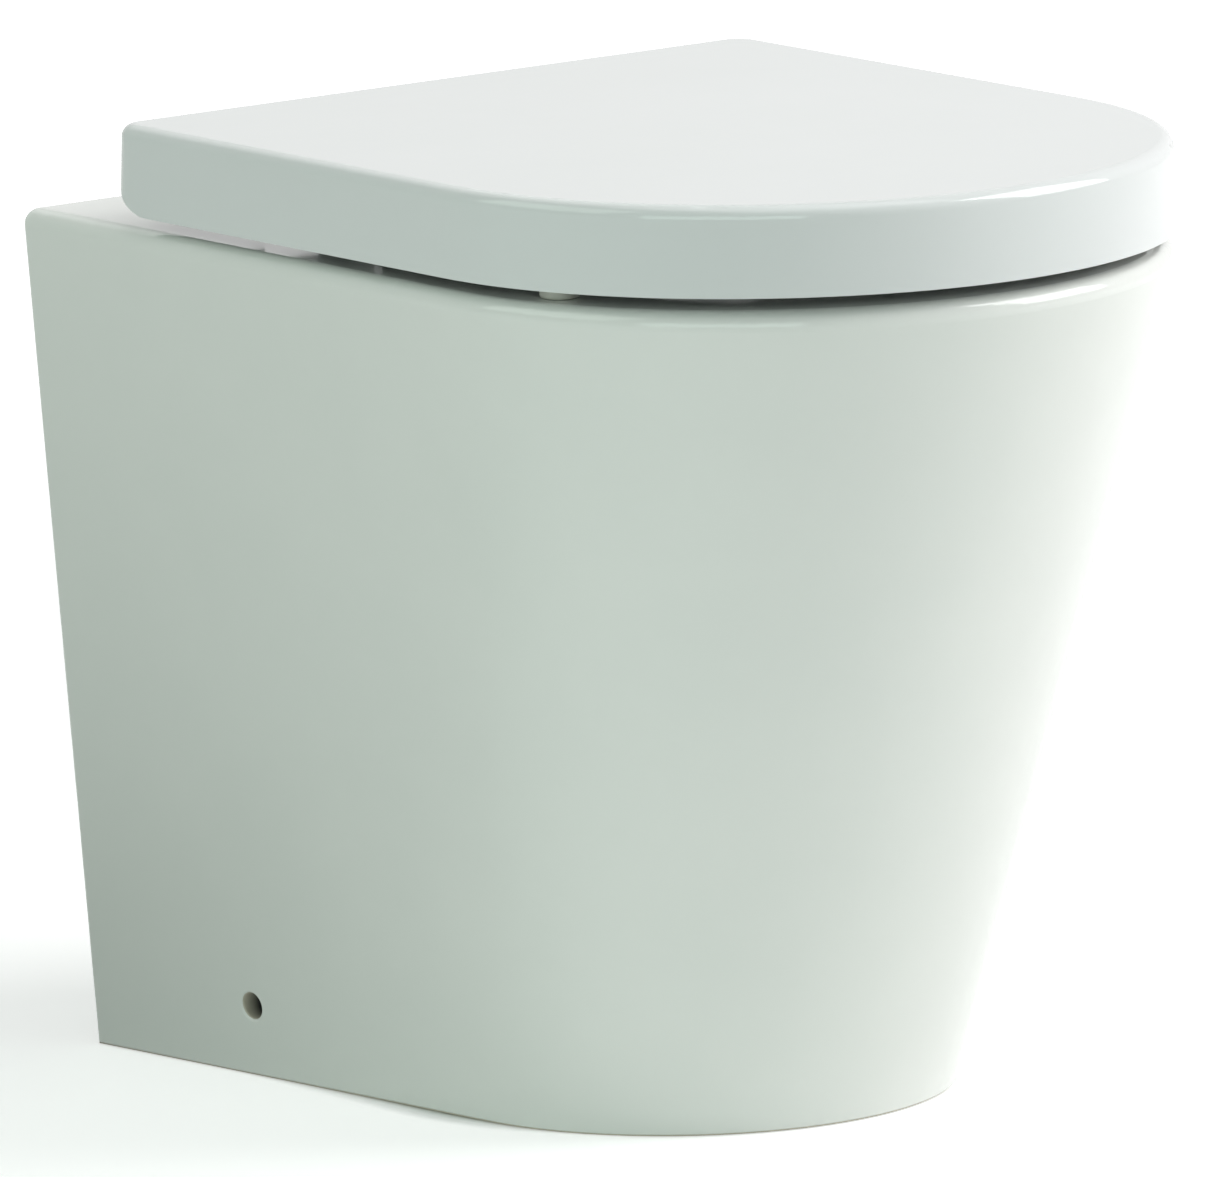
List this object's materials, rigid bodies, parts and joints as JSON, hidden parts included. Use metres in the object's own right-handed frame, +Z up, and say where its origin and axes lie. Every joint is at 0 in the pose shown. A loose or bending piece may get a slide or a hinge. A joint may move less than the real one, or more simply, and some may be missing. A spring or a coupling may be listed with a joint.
{
  "type": "back-to-wall toilet",
  "caption": "Back-to-wall toilet pan with a full tapered skirt, a D-shaped wrap-over lid and a seat ring on soft-close hinges.",
  "frame": {"origin": "middle of the line where the wall meets the floor", "axes": "+Z up, +Y into the wall so the bowl faces -Y, +X to the right of someone who faces the wall"},
  "size_m": [0.361, 0.5004, 0.435],
  "materials": {
    "china": "clear white glaze",
    "seat_plastic": "polished white moulding",
    "white_rubber": "matt",
    "clear_rubber": "matt",
    "black_rubber": "matt",
    "stainless": "turned",
    "chrome": "polished",
    "nylon": "as moulded",
    "damper_plastic": "as moulded"
  },
  "bodies": {
    "pan": {"pan": "china", "inlet_seal": "black_rubber", "hinge_base_left": "stainless", "base_gasket_left": "clear_rubber", "hinge_block_left": "chrome", "grub_screw_left": "stainless", "damper_case_left": "damper_plastic", "hinge_pin_left": "stainless", "fixing_stud_left": "stainless", "cone_washer_left": "black_rubber", "flat_washer_left": "stainless", "wing_nut_left": "nylon", "hinge_base_right": "stainless", "base_gasket_right": "clear_rubber", "hinge_block_right": "chrome", "grub_screw_right": "stainless", "damper_case_right": "damper_plastic", "hinge_pin_right": "stainless", "fixing_stud_right": "stainless", "cone_washer_right": "black_rubber", "flat_washer_right": "stainless", "wing_nut_right": "nylon"},
    "ring": {"seat_ring": "seat_plastic", "pin_bush_right": "nylon", "damper_rotor_left": "damper_plastic", "ring_buffer_front_left": "white_rubber", "ring_buffer_front_right": "white_rubber", "ring_buffer_back_left": "white_rubber", "ring_buffer_back_right": "white_rubber"},
    "lid": {"seat_lid": "seat_plastic", "pin_bush_left": "nylon", "damper_rotor_right": "damper_plastic", "lid_buffer_front_left": "white_rubber", "lid_buffer_front_right": "white_rubber", "lid_buffer_back_left": "white_rubber", "lid_buffer_back_right": "white_rubber"}
  },
  "joints": [
    {"name": "ring_hinge", "type": "hinge", "parent": "pan", "child": "ring", "pos_m": [0, -0.079, 0.421], "axis": [-1, 0, 0], "range_deg": [0, 95]},
    {"name": "lid_hinge", "type": "hinge", "parent": "ring", "child": "lid", "pos_m": [0, -0.079, 0.421], "axis": [-1, 0, 0], "range_deg": [0, 95]}
  ]
}
